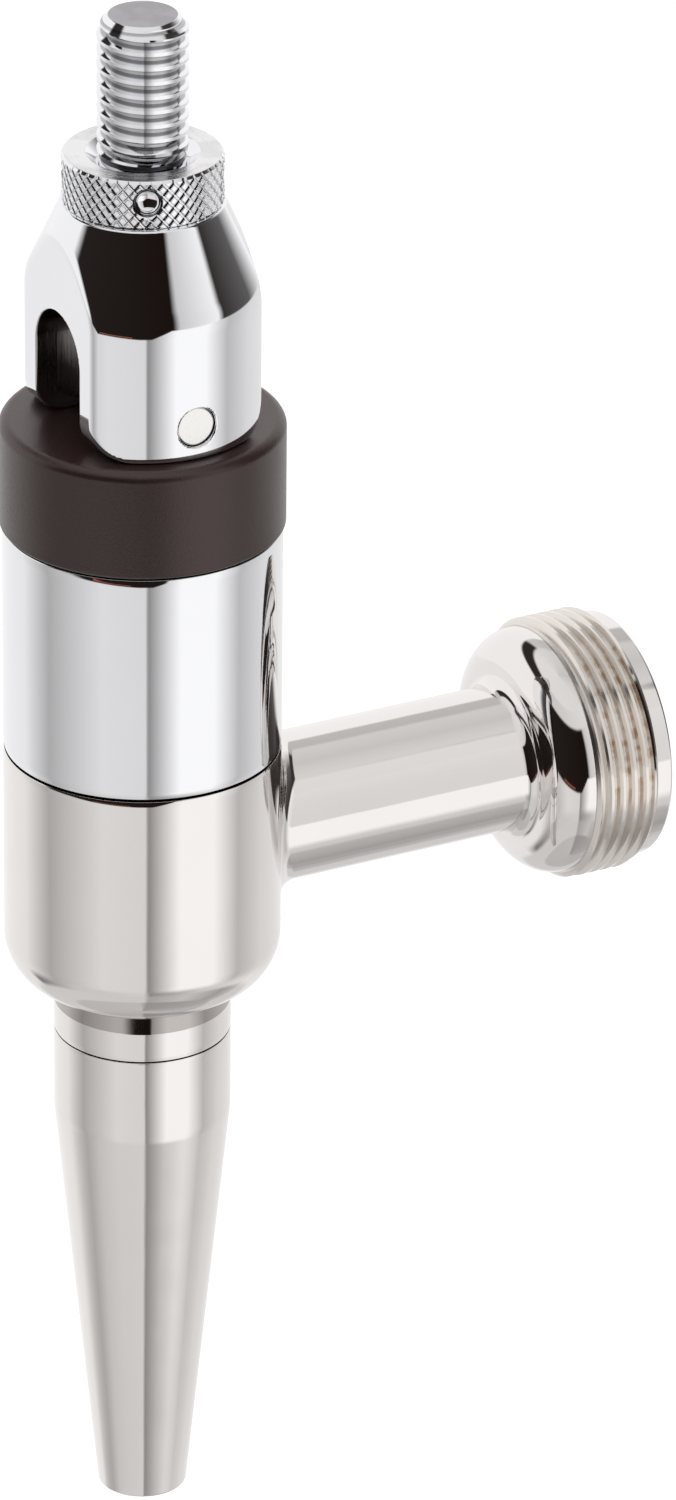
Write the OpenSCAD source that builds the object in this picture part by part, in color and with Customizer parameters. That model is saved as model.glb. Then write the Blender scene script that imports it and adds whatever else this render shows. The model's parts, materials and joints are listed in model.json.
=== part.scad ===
// Stout beer faucet: a side inlet with a threaded flange, a vertical valve body,
// a cam-action lever on top and a long tapered spout below.
// The origin is the centre of the inlet flange's end face. +Z is up, +Y points
// into the wall that the faucet is fixed to, and the lever's pin lies along X.
// Threads are rings of grooves at the true pitch, so their crests stay true cylinders.

/* [Inlet] */
// Distance from the valve's axis to the end face of the inlet flange
reach = 56.9; // [56.5:0.1:57.5]
// Outer diameter of the inlet tube
tube_d = 15.8; // [15.6:0.1:16]
// Bore of the inlet tube
inlet_bore_d = 9.6; // [9.4:0.1:9.8]
// Major diameter of the flange thread, 1-1/8 inch
flange_d = 28.575; // [28.5:0.005:28.6]
// Pitch of the flange thread, 18 per inch
flange_pitch = 1.4111; // [1.41:0.0001:1.412]
// Diameter of the plain rim behind the flange thread
rim_d = 26.8; // [26.6:0.1:27]
// Diameter of the recess in the flange's end face
socket_d = 21; // [20.6:0.1:21.4]

/* [Body] */
// Outer diameter of the valve body and of the bonnet
body_d = 29.4; // [29.2:0.1:29.6]
// Radius round the bottom edge of the body
body_edge = 6; // [5.6:0.1:6]
// Height of the seam between body and bonnet above the inlet's axis
seam_z = 11.4; // [11.2:0.1:11.6]
// Depth of the body below the inlet's axis
body_drop = 15.5; // [15.3:0.1:15.7]
// Diameter of the neck and of the top of the spout
neck_d = 18.9; // [18.8:0.1:19.2]
// Depth of the seam between neck and spout below the inlet's axis
spout_seam = 22.2; // [22:0.1:22.4]

/* [Bonnet and cap] */
// Height of the top of the bonnet above the inlet's axis
bonnet_top = 36.75; // [36.5:0.05:37]
// Outer diameter of the cam cap
cap_d = 30; // [29.8:0.1:30.2]
// Height of the cam face on top of the cap above the inlet's axis
cap_top = 48.95; // [48.8:0.05:49.2]
// Radius round the top edge of the cap
cap_edge = 1.1; // [0.9:0.1:1.3]

/* [Lever] */
// Diameter of the round fork before its flats are cut
fork_d = 25.4; // [25.2:0.1:25.6]
// Distance across the front and back flats of the fork
fork_depth = 19.7; // [19.5:0.1:19.9]
// Height of the fork
fork_h = 24.4; // [24.2:0.1:24.6]
// Diameter of the fork's top face
fork_top_d = 17.1; // [17:0.1:17.3]
// Radius of the two cam corners under the fork
cam_r = 3.3; // [3.2:0.1:3.4]
// Height of the pivot pin above the cam face at rest
pin_height = 3.65; // [3.6:0.05:3.7]
// Diameter of the pivot pin
pin_d = 4.3; // [4.2:0.1:4.4]
// Width of the slot between the two cheeks
slot_w = 10.1; // [10:0.1:10.2]
// Height of the pin below the centre of the slot's round top
slot_rise = 4.8; // [4.7:0.1:5]

/* [Handle stud and lock ring] */
// Major diameter of the handle stud, 3/8 inch
stud_d = 9.525; // [9.5:0.005:9.55]
// Pitch of the handle stud, 16 per inch
stud_pitch = 1.5875; // [1.585:0.0005:1.59]
// Length of stud standing above the fork
stud_len = 20.45; // [20.3:0.05:20.6]
// Outer diameter of the knurled lock ring
ring_d = 16.9; // [16.8:0.1:17]
// Thickness of the lock ring
ring_h = 5.35; // [5.3:0.05:5.5]
// Diameter of the four spanner holes in the lock ring
ring_hole_d = 3; // [2.9:0.1:3.1]

/* [Valve] */
// Diameter of the valve stem where it passes the bonnet
stem_d = 9; // [8.9:0.1:9.1]
// Diameter of the opening that the seal closes
port_d = 10; // [9.8:0.1:10.2]
// Diameter of the spring chamber in the bonnet
spring_bore_d = 15; // [14.9:0.1:15.1]
// Wire diameter of the return spring
wire_d = 1.2; // [1.1:0.1:1.3]

/* [Spout] */
// Length of the parallel top of the spout
spout_straight = 9.4; // [9.2:0.1:9.6]
// Length of the whole spout
spout_len = 55.75; // [55.5:0.05:56]
// Outer diameter of the spout's tip
tip_d = 9.5; // [9.4:0.1:9.6]

/* [Hidden] */
$fn = 96;

// Overlap that keeps cutters clear of the faces they open
eps = 0.01;
// Radial gap of a located or running fit
fit = 0.05;
// Chamfer on each side of a seam
seam_edge = 0.25;

body_r = body_d / 2;
neck_r = neck_d / 2;
stem_r = stem_d / 2;

// Both outside threads: crest flat and depth as shares of the pitch
crest_share = 0.24;
depth_share = 0.5;
flange_grooves = 5;
stud_grooves = 9;
flange_thread_len = (flange_grooves + crest_share) * flange_pitch;
stud_thread_len = (stud_grooves + crest_share) * stud_pitch;

// S-shaped shoulder between tube and flange
rim_len = 2;
hollow_r = 2.6;
crown_r = 4.2;
shoulder_r = 13.5;
flange_start = reach - rim_len - flange_thread_len;

// Recess in the end face: a plain mouth, then a toothed ring that the shank's lugs enter
socket_mouth = 1.6;
socket_depth = 3.6;
lug_ring_d = 18.6;
lug_count = 20;
lug_d = 1.6;

// Chamber under the bonnet, and the seat that the seal closes on
bonnet_thread_d = 25.8;
bonnet_thread_pitch = 1.5;
bonnet_thread_z = 5.5;
chamber_d = 20.4;
seat_z = -7;

// Nipple under the neck that the spout screws on
nipple_d = 14.8;
nipple_pitch = 1;
nipple_len = 7.6;
nipple_grooves = 3;
nipple_end = -spout_seam - nipple_len;

// O-rings and their grooves
o_ring_d = 1.2;
groove_w = 1.7;
groove_depth = 1.2;
bonnet_o_ring_z = 7.2;
stem_o_ring_z = 9.3;
spout_o_ring_z = -spout_seam - 1.4;

// Spring chamber and guide bush in the bonnet
washer_z = 32;
washer_t = 0.8;
boss_d = 16;
boss_h = 3;
boss_top = bonnet_top + boss_h;
bush_d = 12;
cap_gap = 0.25;
cap_bottom = bonnet_top + cap_gap;

// Valve stem, from its seal plate up to its rounded top
collar_z = 6.6;
collar_h = 5.4;
seal_t = 2.6;
seal_d = 13.2;
plate_d = 11.4;
plate_t = 1.2;
lower_stem_d = 7;
seal_top = seat_z + seal_t;
seal_washer_t = 0.9;
seal_washer_d = 9;
screw_d = 3.5;
screw_head_d = 6.4;
screw_head_t = 1.8;
spring_turns = 8.5;
spring_d = 12;

// Lever: the fork's cylinder turns into a cone through an arc
pin_z = cap_top + pin_height;
fork_r = fork_d / 2;
fork_top_z = cap_top + fork_h;
slot_top_z = pin_z + slot_rise;
stem_top = slot_top_z;
cone_angle = 24.7;
cone_arc_r = 7;
stud_seat_d = 8;
stud_seat_z = fork_top_z - 6;

// Handle stud and lock ring
ring_neck_d = 9;
ring_top_z = fork_top_z + ring_h;
ring_hole_z = fork_top_z + 2.95;
ring_hole_depth = 2.2;
ring_hole_turn = -23;
stud_top_z = fork_top_z + stud_len;
stud_chamfer = 0.93;

// Spout
socket_r = nipple_d / 2 + fit;
disc_t = 1.2;
ledge_z = nipple_end - disc_t;
vane_len = 12;
vane_r = 6.3;
vane_t = 0.8;
vane_end = ledge_z - vane_len - 0.2;
tip_z = -spout_seam - spout_len;
tip_bore_r = 3.9;
tip_bore_len = 8;

// Points along an arc round (x, y), for outlines that are turned on a lathe
function arc(x, y, r, from, to, n = 12) =
    [for (i = [0:n]) let (a = from + (to - from) * i / n) [x + r * cos(a), y + r * sin(a)]];

// Moves a part from the valve's upright axis into the faucet's frame
module on_axis() { translate([0, -reach, 0]) children(); }

// Turns a part drawn upright so that its axis runs along +Y
module along_inlet() { rotate([-90, 0, 0]) children(); }

// A square-edged ring between two radii and two heights
module ring(r_in, r_out, z0, z1) {
    rotate_extrude()
        translate([r_in, z0])
            square([r_out - r_in, z1 - z0]);
}

module drill(d, z0, z1) { translate([0, 0, z0]) cylinder(d = d, h = z1 - z0); }

module o_ring(r_out, z) {
    rotate_extrude()
        translate([r_out - fit / 2 - o_ring_d / 2, z])
            circle(d = o_ring_d);
}

module o_ring_groove(r_out, z) {
    ring(r_out - groove_depth, r_out + 1, z - groove_w / 2, z + groove_w / 2);
}

// V-grooves, one per pitch, cut up +Z into the outside of a cylinder
module thread_grooves(d, pitch, count) {
    half = pitch * (1 - crest_share) / 2;
    for (i = [0:count - 1])
        translate([0, 0, (i + 0.5 + crest_share / 2) * pitch])
            rotate_extrude()
                polygon([
                    [d / 2 - depth_share * pitch, 0],
                    [d / 2 + eps, half],
                    [d / 2 + 1, half],
                    [d / 2 + 1, -half],
                    [d / 2 + eps, -half]]);
}

module body_outside() {
    side_z = body_edge - body_drop;
    rotate_extrude() {
        polygon([
            [0, side_z],
            [body_r, side_z],
            [body_r, seam_z - seam_edge],
            [body_r - seam_edge, seam_z],
            [0, seam_z]]);
        translate([body_r - body_edge, side_z]) circle(body_edge);
        translate([0, -body_drop]) square([body_r - body_edge, body_edge]);
        translate([0, seam_edge - spout_seam]) square([neck_r, spout_seam + side_z]);
        translate([0, -spout_seam]) square([neck_r - seam_edge, 1]);
        translate([0, nipple_end]) square([nipple_d / 2, nipple_len]);
    }
}

module body_inside() {
    drill(bonnet_thread_d, bonnet_thread_z, seam_z + 1);
    drill(chamber_d, seat_z, bonnet_thread_z + eps);
    drill(port_d, nipple_end - 1, seat_z + eps);
    o_ring_groove(nipple_d / 2, spout_o_ring_z);
    translate([0, 0, nipple_end + 0.6]) thread_grooves(nipple_d, nipple_pitch, nipple_grooves);
}

module inlet_outside() {
    // The two arcs of the shoulder touch on the line between their centres
    hollow_x = tube_d / 2 + hollow_r;
    crown_x = shoulder_r - crown_r;
    rise = sqrt(pow(hollow_r + crown_r, 2) - pow(crown_x - hollow_x, 2));
    touch = atan2(rise, crown_x - hollow_x);
    along_inlet() {
        rotate_extrude()
            polygon(concat(
                [[0, 0], [tube_d / 2, 0]],
                arc(hollow_x, flange_start - rise, hollow_r, 180, touch),
                arc(crown_x, flange_start, crown_r, touch - 180, 0),
                [[0, flange_start]]));
        difference() {
            drill(flange_d, flange_start, flange_start + flange_thread_len);
            translate([0, 0, flange_start])
                thread_grooves(flange_d, flange_pitch, flange_grooves);
        }
        drill(rim_d, flange_start, reach);
    }
}

module inlet_inside() {
    along_inlet() {
        drill(inlet_bore_d, 0, reach + 1);
        drill(socket_d, reach - socket_mouth, reach + 1);
        drill(lug_ring_d, reach - socket_depth, reach);
        for (i = [0:lug_count - 1])
            rotate(i * 360 / lug_count)
                translate([lug_ring_d / 2, 0, 0])
                    drill(lug_d, reach - socket_depth, reach - socket_mouth + eps);
    }
}

module valve_body() {
    color("gainsboro")
        on_axis()
            difference() {
                union() {
                    body_outside();
                    inlet_outside();
                }
                body_inside();
                inlet_inside();
            }
}

module spout() {
    color("gainsboro")
        on_axis()
            rotate_extrude()
                polygon([
                    [socket_r, -spout_seam],
                    [neck_r - seam_edge, -spout_seam],
                    [neck_r, -spout_seam - seam_edge],
                    [neck_r, -spout_seam - spout_straight],
                    [tip_d / 2, tip_z],
                    [tip_bore_r, tip_z],
                    [tip_bore_r, tip_z + tip_bore_len],
                    [vane_r - 1, vane_end],
                    [vane_r + fit, vane_end],
                    [vane_r + fit, ledge_z],
                    [socket_r, ledge_z]]);
}

module spout_o_ring() { color("dimgray") on_axis() o_ring(socket_r, spout_o_ring_z); }

// A disc with five small holes that makes the beer foam finely
module restrictor_disc() {
    hole_circle_r = 3.2;
    hole_d = 1.2;
    color("silver")
        on_axis()
            difference() {
                drill(2 * socket_r - 4 * fit, ledge_z, nipple_end);
                for (i = [0:4])
                    rotate(i * 72)
                        translate([hole_circle_r, 0, 0])
                            drill(hole_d, ledge_z - 1, nipple_end + 1);
            }
}

// A ring with crossed vanes that calms the flow above the spout
module flow_straightener() {
    top = ledge_z - 0.1;
    color("ivory")
        on_axis() {
            ring(vane_r - vane_t, vane_r, top - vane_len, top);
            for (a = [0, 90])
                rotate(a)
                    translate([-vane_r + vane_t / 2, -vane_t / 2, top - vane_len])
                        cube([2 * vane_r - vane_t, vane_t, vane_len]);
        }
}

module bonnet() {
    plug_r = bonnet_thread_d / 2 - fit;
    color("lightsteelblue")
        on_axis()
            difference() {
                rotate_extrude() {
                    polygon([
                        [0, seam_z],
                        [body_r - seam_edge, seam_z],
                        [body_r, seam_z + seam_edge],
                        [body_r, bonnet_top - seam_edge],
                        [body_r - seam_edge, bonnet_top],
                        [0, bonnet_top]]);
                    translate([0, bonnet_thread_z + 0.1])
                        square([plug_r, seam_z - bonnet_thread_z]);
                    translate([0, seam_z]) square([boss_d / 2, boss_top - seam_z]);
                }
                drill(spring_bore_d, 0, washer_z + washer_t);
                drill(bush_d + 2 * fit, 0, boss_top + 1);
                o_ring_groove(plug_r, bonnet_o_ring_z);
                translate([0, 0, bonnet_o_ring_z + groove_w / 2 + 0.2])
                    thread_grooves(2 * plug_r, bonnet_thread_pitch, 2);
            }
}

module bonnet_o_ring() {
    color("dimgray") on_axis() o_ring(bonnet_thread_d / 2, bonnet_o_ring_z);
}

module guide_bush() {
    color("ivory") on_axis() ring(stem_r + fit, bush_d / 2, washer_z + washer_t, boss_top);
}

module spring_washer() {
    color("silver")
        on_axis()
            ring(stem_r + 0.7, spring_bore_d / 2 - 0.2, washer_z, washer_z + washer_t);
}

// A round wire swept along a coil, from the stem's collar up to the washer
module return_spring() {
    steps = 20 * spring_turns;
    sides = 8;
    z0 = collar_z + collar_h + wire_d / 2 + fit;
    z1 = washer_z - wire_d / 2 - fit;
    points = [
        for (i = [0:steps])
            for (j = [0:sides - 1])
                let (
                    a = 360 * spring_turns * i / steps,
                    b = 360 * j / sides,
                    r = spring_d / 2 + wire_d / 2 * cos(b))
                [r * cos(a), r * sin(a), z0 + (z1 - z0) * i / steps + wire_d / 2 * sin(b)]];
    walls = [
        for (i = [0:steps - 1])
            for (j = [0:sides - 1])
                let (k = (j + 1) % sides)
                [i * sides + j, (i + 1) * sides + j, (i + 1) * sides + k, i * sides + k]];
    first_end = [for (j = [0:sides - 1]) j];
    last_end = [for (j = [sides - 1:-1:0]) steps * sides + j];
    color("darkgray")
        on_axis()
            polyhedron(points, concat(walls, [first_end, last_end]));
}

module cam_cap() {
    color("dimgray")
        on_axis()
            difference() {
                rotate_extrude() {
                    polygon([
                        [0, cap_bottom],
                        [cap_d / 2 - seam_edge, cap_bottom],
                        [cap_d / 2, cap_bottom + seam_edge],
                        [cap_d / 2, cap_top - cap_edge],
                        [0, cap_top - cap_edge]]);
                    translate([cap_d / 2 - cap_edge, cap_top - cap_edge]) circle(cap_edge);
                    translate([0, cap_bottom + 1])
                        square([cap_d / 2 - cap_edge, cap_top - cap_bottom - 1]);
                }
                drill(boss_d + 2 * fit, cap_bottom - 1, boss_top);
                drill(stem_d + 0.6, cap_bottom - 1, cap_top + 1);
            }
}

module stem() {
    chamfer = 1;
    color("silver")
        on_axis()
            difference() {
                rotate_extrude()
                    polygon([
                        [0, seal_top],
                        [plate_d / 2, seal_top],
                        [plate_d / 2, seal_top + plate_t],
                        [lower_stem_d / 2, seal_top + plate_t],
                        [lower_stem_d / 2, collar_z],
                        [spring_bore_d / 2 - fit, collar_z],
                        [spring_bore_d / 2 - fit, collar_z + collar_h],
                        [stem_r, collar_z + collar_h],
                        [stem_r, stem_top - chamfer],
                        [stem_r - chamfer, stem_top],
                        [0, stem_top]]);
                o_ring_groove(spring_bore_d / 2 - fit, stem_o_ring_z);
                drill(screw_d + 2 * fit, seal_top - 1, seal_top + 6);
                translate([0, 0, pin_z])
                    rotate([0, 90, 0])
                        cylinder(d = pin_d + 2 * fit, h = stem_d + 2, center = true);
            }
}

module stem_o_ring() {
    color("dimgray") on_axis() o_ring(spring_bore_d / 2, stem_o_ring_z);
}

module valve_seal() {
    color("dimgray") on_axis() ring(screw_d / 2 + fit, seal_d / 2, seat_z, seal_top);
}

module seal_washer() {
    color("silver")
        on_axis()
            ring(screw_d / 2 + fit, seal_washer_d / 2, seat_z - seal_washer_t, seat_z);
}

module seal_screw() {
    head_top = seat_z - seal_washer_t;
    socket_across = 3;
    socket_deep = 1.2;
    color("silver")
        on_axis()
            difference() {
                union() {
                    drill(screw_d, head_top - eps, seal_top + 5.5);
                    drill(screw_head_d, head_top - screw_head_t, head_top);
                }
                translate([0, 0, head_top - screw_head_t - 1])
                    cylinder(d = socket_across, h = socket_deep + 1, $fn = 6);
            }
}

// The fork's turned outline: a cylinder, an arc and a cone
module fork_turned() {
    arc_end_r = fork_r - cone_arc_r * (1 - cos(cone_angle));
    arc_end_z = fork_top_z - (arc_end_r - fork_top_d / 2) / tan(cone_angle);
    rotate_extrude()
        polygon(concat(
            [[0, cap_top], [fork_r, cap_top]],
            arc(fork_r - cone_arc_r, arc_end_z - cone_arc_r * sin(cone_angle), cone_arc_r,
                0, cone_angle, 8),
            [[fork_top_d / 2, fork_top_z], [0, fork_top_z]]));
}

// The side view of the fork: two flats whose lower corners are the cams
module fork_side() {
    half = fork_depth / 2;
    rotate([90, 0, 90])
        linear_extrude(fork_d + 2, center = true) {
            translate([-half, cap_top + cam_r])
                square([fork_depth, fork_h - cam_r]);
            translate([cam_r - half, cap_top])
                square([fork_depth - 2 * cam_r, fork_h]);
            for (side = [-1, 1])
                translate([side * (half - cam_r), cap_top + cam_r]) circle(cam_r);
        }
}

module lever_fork() {
    slot_len = fork_depth + 2;
    color("lightsteelblue")
        on_axis()
            difference() {
                intersection() {
                    fork_turned();
                    fork_side();
                }
                translate([-slot_w / 2, -slot_len / 2, cap_top - 1])
                    cube([slot_w, slot_len, slot_top_z - cap_top + 1]);
                translate([0, slot_len / 2, slot_top_z])
                    rotate([90, 0, 0])
                        cylinder(d = slot_w, h = slot_len);
                translate([0, 0, pin_z])
                    rotate([0, 90, 0])
                        cylinder(d = pin_d + 2 * fit, h = fork_d + 2, center = true);
                drill(stud_seat_d + 2 * fit, stud_seat_z, fork_top_z + 1);
            }
}

module pivot_pin() {
    recess = 0.4;
    color("whitesmoke")
        on_axis()
            translate([0, 0, pin_z])
                rotate([0, 90, 0])
                    cylinder(d = pin_d, h = fork_d - 2 * recess, center = true);
}

module handle_stud() {
    thread_end = stud_top_z - stud_chamfer;
    thread_start = thread_end - stud_thread_len;
    color("lightsteelblue")
        on_axis()
            difference() {
                rotate_extrude()
                    polygon([
                        [0, stud_seat_z],
                        [stud_seat_d / 2, stud_seat_z],
                        [stud_seat_d / 2, fork_top_z],
                        [ring_neck_d / 2, fork_top_z],
                        [ring_neck_d / 2, thread_start],
                        [stud_d / 2, thread_start],
                        [stud_d / 2, thread_end],
                        [stud_d / 2 - 1.25 * stud_chamfer, stud_top_z],
                        [0, stud_top_z]]);
                translate([0, 0, thread_start])
                    thread_grooves(stud_d, stud_pitch, stud_grooves);
            }
}

module lock_ring() {
    bore_r = ring_neck_d / 2 + fit;
    sink = 1.4;
    chamfer = 0.4;
    color("lightsteelblue")
        on_axis()
            difference() {
                rotate_extrude()
                    polygon([
                        [bore_r, fork_top_z],
                        [ring_d / 2 - chamfer, fork_top_z],
                        [ring_d / 2, fork_top_z + chamfer],
                        [ring_d / 2, ring_top_z - chamfer],
                        [ring_d / 2 - chamfer, ring_top_z],
                        [bore_r + sink, ring_top_z],
                        [bore_r, ring_top_z - sink]]);
                for (i = [0:3])
                    translate([0, 0, ring_hole_z])
                        rotate([0, 90, ring_hole_turn + 90 * i])
                            translate([0, 0, ring_d / 2 - ring_hole_depth])
                                cylinder(d = ring_hole_d, h = ring_hole_depth + 1);
            }
}

valve_body();
spout();
spout_o_ring();
restrictor_disc();
flow_straightener();
bonnet();
bonnet_o_ring();
guide_bush();
spring_washer();
return_spring();
cam_cap();
stem();
stem_o_ring();
valve_seal();
seal_washer();
seal_screw();
lever_fork();
pivot_pin();
handle_stud();
lock_ring();
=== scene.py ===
"""The looks of a stout beer faucet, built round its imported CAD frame.

Outlines are written in millimetres from the point where the valve's upright axis meets the inlet's
axis: x to the lever's pin, y along the inlet towards the wall, z up. Skin moves them into the frame.
"""

import json
import math

import bmesh
import bpy
import numpy as np
from mathutils import Matrix, Vector


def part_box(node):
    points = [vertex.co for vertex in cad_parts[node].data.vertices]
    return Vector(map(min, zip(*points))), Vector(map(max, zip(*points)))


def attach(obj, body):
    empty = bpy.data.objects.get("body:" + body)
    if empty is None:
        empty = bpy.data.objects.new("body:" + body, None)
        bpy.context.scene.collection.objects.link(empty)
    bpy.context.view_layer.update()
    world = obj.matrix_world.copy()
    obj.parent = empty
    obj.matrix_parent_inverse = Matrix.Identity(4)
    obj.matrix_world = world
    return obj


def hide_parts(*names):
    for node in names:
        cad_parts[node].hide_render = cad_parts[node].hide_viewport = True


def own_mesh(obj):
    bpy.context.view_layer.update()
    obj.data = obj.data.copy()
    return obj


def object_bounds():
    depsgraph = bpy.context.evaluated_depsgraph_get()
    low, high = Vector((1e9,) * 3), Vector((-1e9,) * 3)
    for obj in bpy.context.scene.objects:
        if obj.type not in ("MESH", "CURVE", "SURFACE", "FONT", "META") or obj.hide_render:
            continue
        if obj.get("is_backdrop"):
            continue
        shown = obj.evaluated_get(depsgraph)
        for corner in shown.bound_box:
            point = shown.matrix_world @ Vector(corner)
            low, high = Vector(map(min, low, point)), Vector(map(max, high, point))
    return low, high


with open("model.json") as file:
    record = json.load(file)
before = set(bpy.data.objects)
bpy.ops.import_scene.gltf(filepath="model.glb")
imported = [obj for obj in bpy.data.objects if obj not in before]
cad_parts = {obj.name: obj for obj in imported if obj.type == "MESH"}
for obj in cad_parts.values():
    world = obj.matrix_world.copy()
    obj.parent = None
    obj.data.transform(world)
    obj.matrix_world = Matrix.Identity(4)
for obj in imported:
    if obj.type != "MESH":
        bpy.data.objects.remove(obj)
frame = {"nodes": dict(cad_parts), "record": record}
cad_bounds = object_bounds()

MM = 0.001


def span(node):
    """Lowest and highest corner of a CAD node, in millimetres from the valve's axis."""
    low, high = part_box(node)
    return np.array(low) / MM - AXIS, np.array(high) / MM - AXIS


def cad_axis():
    """Where the valve's upright axis stands in the frame, in millimetres."""
    low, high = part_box("bonnet")
    return np.array([0.0, (low.y + high.y) / 2 / MM, 0.0])


AXIS = cad_axis()

# Sizes that the frame gives
REACH = span("valve_body")[1][1]
BODY_R, _, BOSS_TOP = span("bonnet")[1]
BONNET_TOP = span("cam_cap")[0][2] - 0.25
CAP_R, _, CAP_TOP = span("cam_cap")[1]
FORK_R, FORK_HALF, FORK_TOP = span("lever_fork")[1]
PIN_Z = (span("pivot_pin")[0][2] + span("pivot_pin")[1][2]) / 2
PIN_END, PIN_R, _ = span("pivot_pin")[1]
STUD_R, _, STUD_TOP = span("handle_stud")[1]
STUD_FOOT = span("handle_stud")[0][2]
RING_R, _, RING_TOP = span("lock_ring")[1]
NECK_R = span("spout")[1][0]
SPOUT_TOP = span("spout")[1][2]
SPOUT_TIP = span("spout")[0][2]
NIPPLE_END = span("valve_body")[0][2]
FLANGE_R = span("valve_body")[1][2]
SPRING_FOOT = span("return_spring")[0][2]
SPRING_HEAD = span("return_spring")[1][2]
SPRING_R = span("return_spring")[1][0]

# Sizes of details that the frame's boxes don't give
TUBE_R = 7.9
TUBE_BORE_R = 4.8
FILLET = 2.2
BODY_EDGE = 6.0
BODY_FOOT = -16.5
SEAM_Z = 11.4
SEAM_EDGE = 0.25
SEAM_GAP = 0.15
EDGE_DROP = 0.08
NECK_EDGE_Z = -18.8
NECK_TOP_R = 9.26
CHAMBER_R = 10.2
SEAT_Z = -7.0
PORT_R = 5.0
FLANGE_PITCH = 1.4111
FLANGE_TURNS = 5.24
RIM_R = 13.4
RIM_LEN = 2.0
STUD_PITCH = 1.5875
STUD_TURNS = 9.6
CREST = 0.24
THREAD_DEPTH = 0.5
FLANK = THREAD_DEPTH * math.tan(math.radians(30))
CONE = math.radians(24.7)
CONE_ARC_R = 7.0
FORK_TOP_R = 8.55
CAM_R = 3.3
SLOT_HALF = 5.05
SLOT_RISE = 4.8
RING_NECK_R = 4.5
RING_LIFT = 0.02  # keeps the ring's underside off the fork's top face
RING_HOLE_R = 1.5
RING_HOLE_Z = FORK_TOP + 2.95
RING_HOLE_TURN = -23

# Fineness of the meshes
PATCH = 50
TUBE_COLUMNS = 4 * PATCH
LATHE = 240
SHARP = math.radians(30)
WELD = 2000
WELD_DISTANCE = MM / WELD


# ---------------------------------------------------------------- mesh building


class Skin:
    """Grids of quads with a normal at each corner, welded into one closed mesh."""

    def __init__(self):
        self.corners, self.normals = [], []

    def grid(self, points, normals):
        """Joins each point to its neighbours along both axes of the grid."""
        quads = []
        for field in (points, normals):
            a, b = field[:-1, :-1], field[1:, :-1]
            c, d = field[1:, 1:], field[:-1, 1:]
            quads.append(np.stack([a, b, c, d], axis=2).reshape(-1, 4, 3))
        self.add(*quads)

    def add(self, corners, normal):
        """Takes quads as arrays of four corners and four normals, and turns them outwards."""
        face = np.cross(corners[:, 2] - corners[:, 0], corners[:, 3] - corners[:, 1])
        wrong = (face * normal.sum(1)).sum(1) < 0
        corners[wrong] = corners[wrong][:, ::-1]
        normal[wrong] = normal[wrong][:, ::-1]
        self.corners.append(corners)
        self.normals.append(normal)

    def strips(self, points, outward):
        """A grid whose rows are joined by strips that are flat across and smooth along."""
        for low, high in zip(points[:-1], points[1:]):
            strip = np.stack([low, high])
            self.grid(strip, strip_normals(strip, outward))

    def build(self, name, place=(0, 0, 0)):
        """Welds equal points, drops collapsed faces and returns the object."""
        corners = np.concatenate(self.corners)
        normals = np.concatenate(self.normals).reshape(-1, 3)
        keys = np.round(corners.reshape(-1, 3) * WELD + 0.1234567).astype(np.int64)
        _, first, index = np.unique(keys, axis=0, return_index=True, return_inverse=True)
        points = (corners.reshape(-1, 3)[first] + AXIS + place) * MM
        index = index.reshape(-1, 4)
        faces, kept = [], []
        for number, face in enumerate(index.tolist()):
            if len(set(face)) == 4:
                faces.append(face)
                kept.extend(range(4 * number, 4 * number + 4))
                continue
            loop = [k for k in range(4) if face[k] != face[k - 1]]
            if len(set(face)) == 3 and len(loop) == 3:
                faces.append([face[k] for k in loop])
                kept.extend(4 * number + k for k in loop)
        mesh = bpy.data.meshes.new(name)
        mesh.from_pydata(points.tolist(), [], faces)
        mesh.polygons.foreach_set("use_smooth", [True] * len(mesh.polygons))
        mesh.normals_split_custom_set(normals[kept].tolist())
        return link(name, mesh)


def link(name, mesh):
    made = bpy.data.objects.new(name, mesh)
    bpy.context.scene.collection.objects.link(made)
    return made


def unit(vectors):
    length = np.linalg.norm(vectors, axis=-1, keepdims=True)
    return vectors / np.maximum(length, 1e-12)


def strip_normals(strip, outward):
    """Normals of a strip two rows high: flat across it, smooth along it, on the outward side."""
    face = np.cross(strip[1, 1:] - strip[0, :-1], strip[0, 1:] - strip[1, :-1])
    side = np.broadcast_to(outward, strip[0].shape)[:-1]
    if (face * side).sum() < 0:
        face = -face
    closed = np.allclose(strip[:, 0], strip[:, -1])
    before = face[-1:] if closed else face[:1]
    after = face[:1] if closed else face[-1:]
    normals = unit(np.vstack([before, face]) + np.vstack([face, after]))
    return np.stack([normals, normals])


def fillet(outline, steps=8):
    """An outline of (x, y) or (x, y, radius) corners with the corners that have a radius rounded."""
    points = []
    last = len(outline) - 1
    for i, corner in enumerate(outline):
        here = np.array(corner[:2], float)
        if len(corner) < 3 or i in (0, last):
            points.append(here)
            continue
        before = unit(np.array(outline[i - 1][:2], float) - here)
        after = unit(np.array(outline[i + 1][:2], float) - here)
        half = math.acos(np.clip(before @ after, -1, 1)) / 2
        centre = here + unit(before + after) * corner[2] / math.sin(half)
        start = here + before * corner[2] / math.tan(half) - centre
        end = here + after * corner[2] / math.tan(half) - centre
        turn = math.pi - 2 * half
        for k in range(steps + 1):
            a = math.sin(turn * (1 - k / steps)) / math.sin(turn)
            b = math.sin(turn * k / steps) / math.sin(turn)
            points.append(centre + start * a + end * b)
    return np.array(points)


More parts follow.
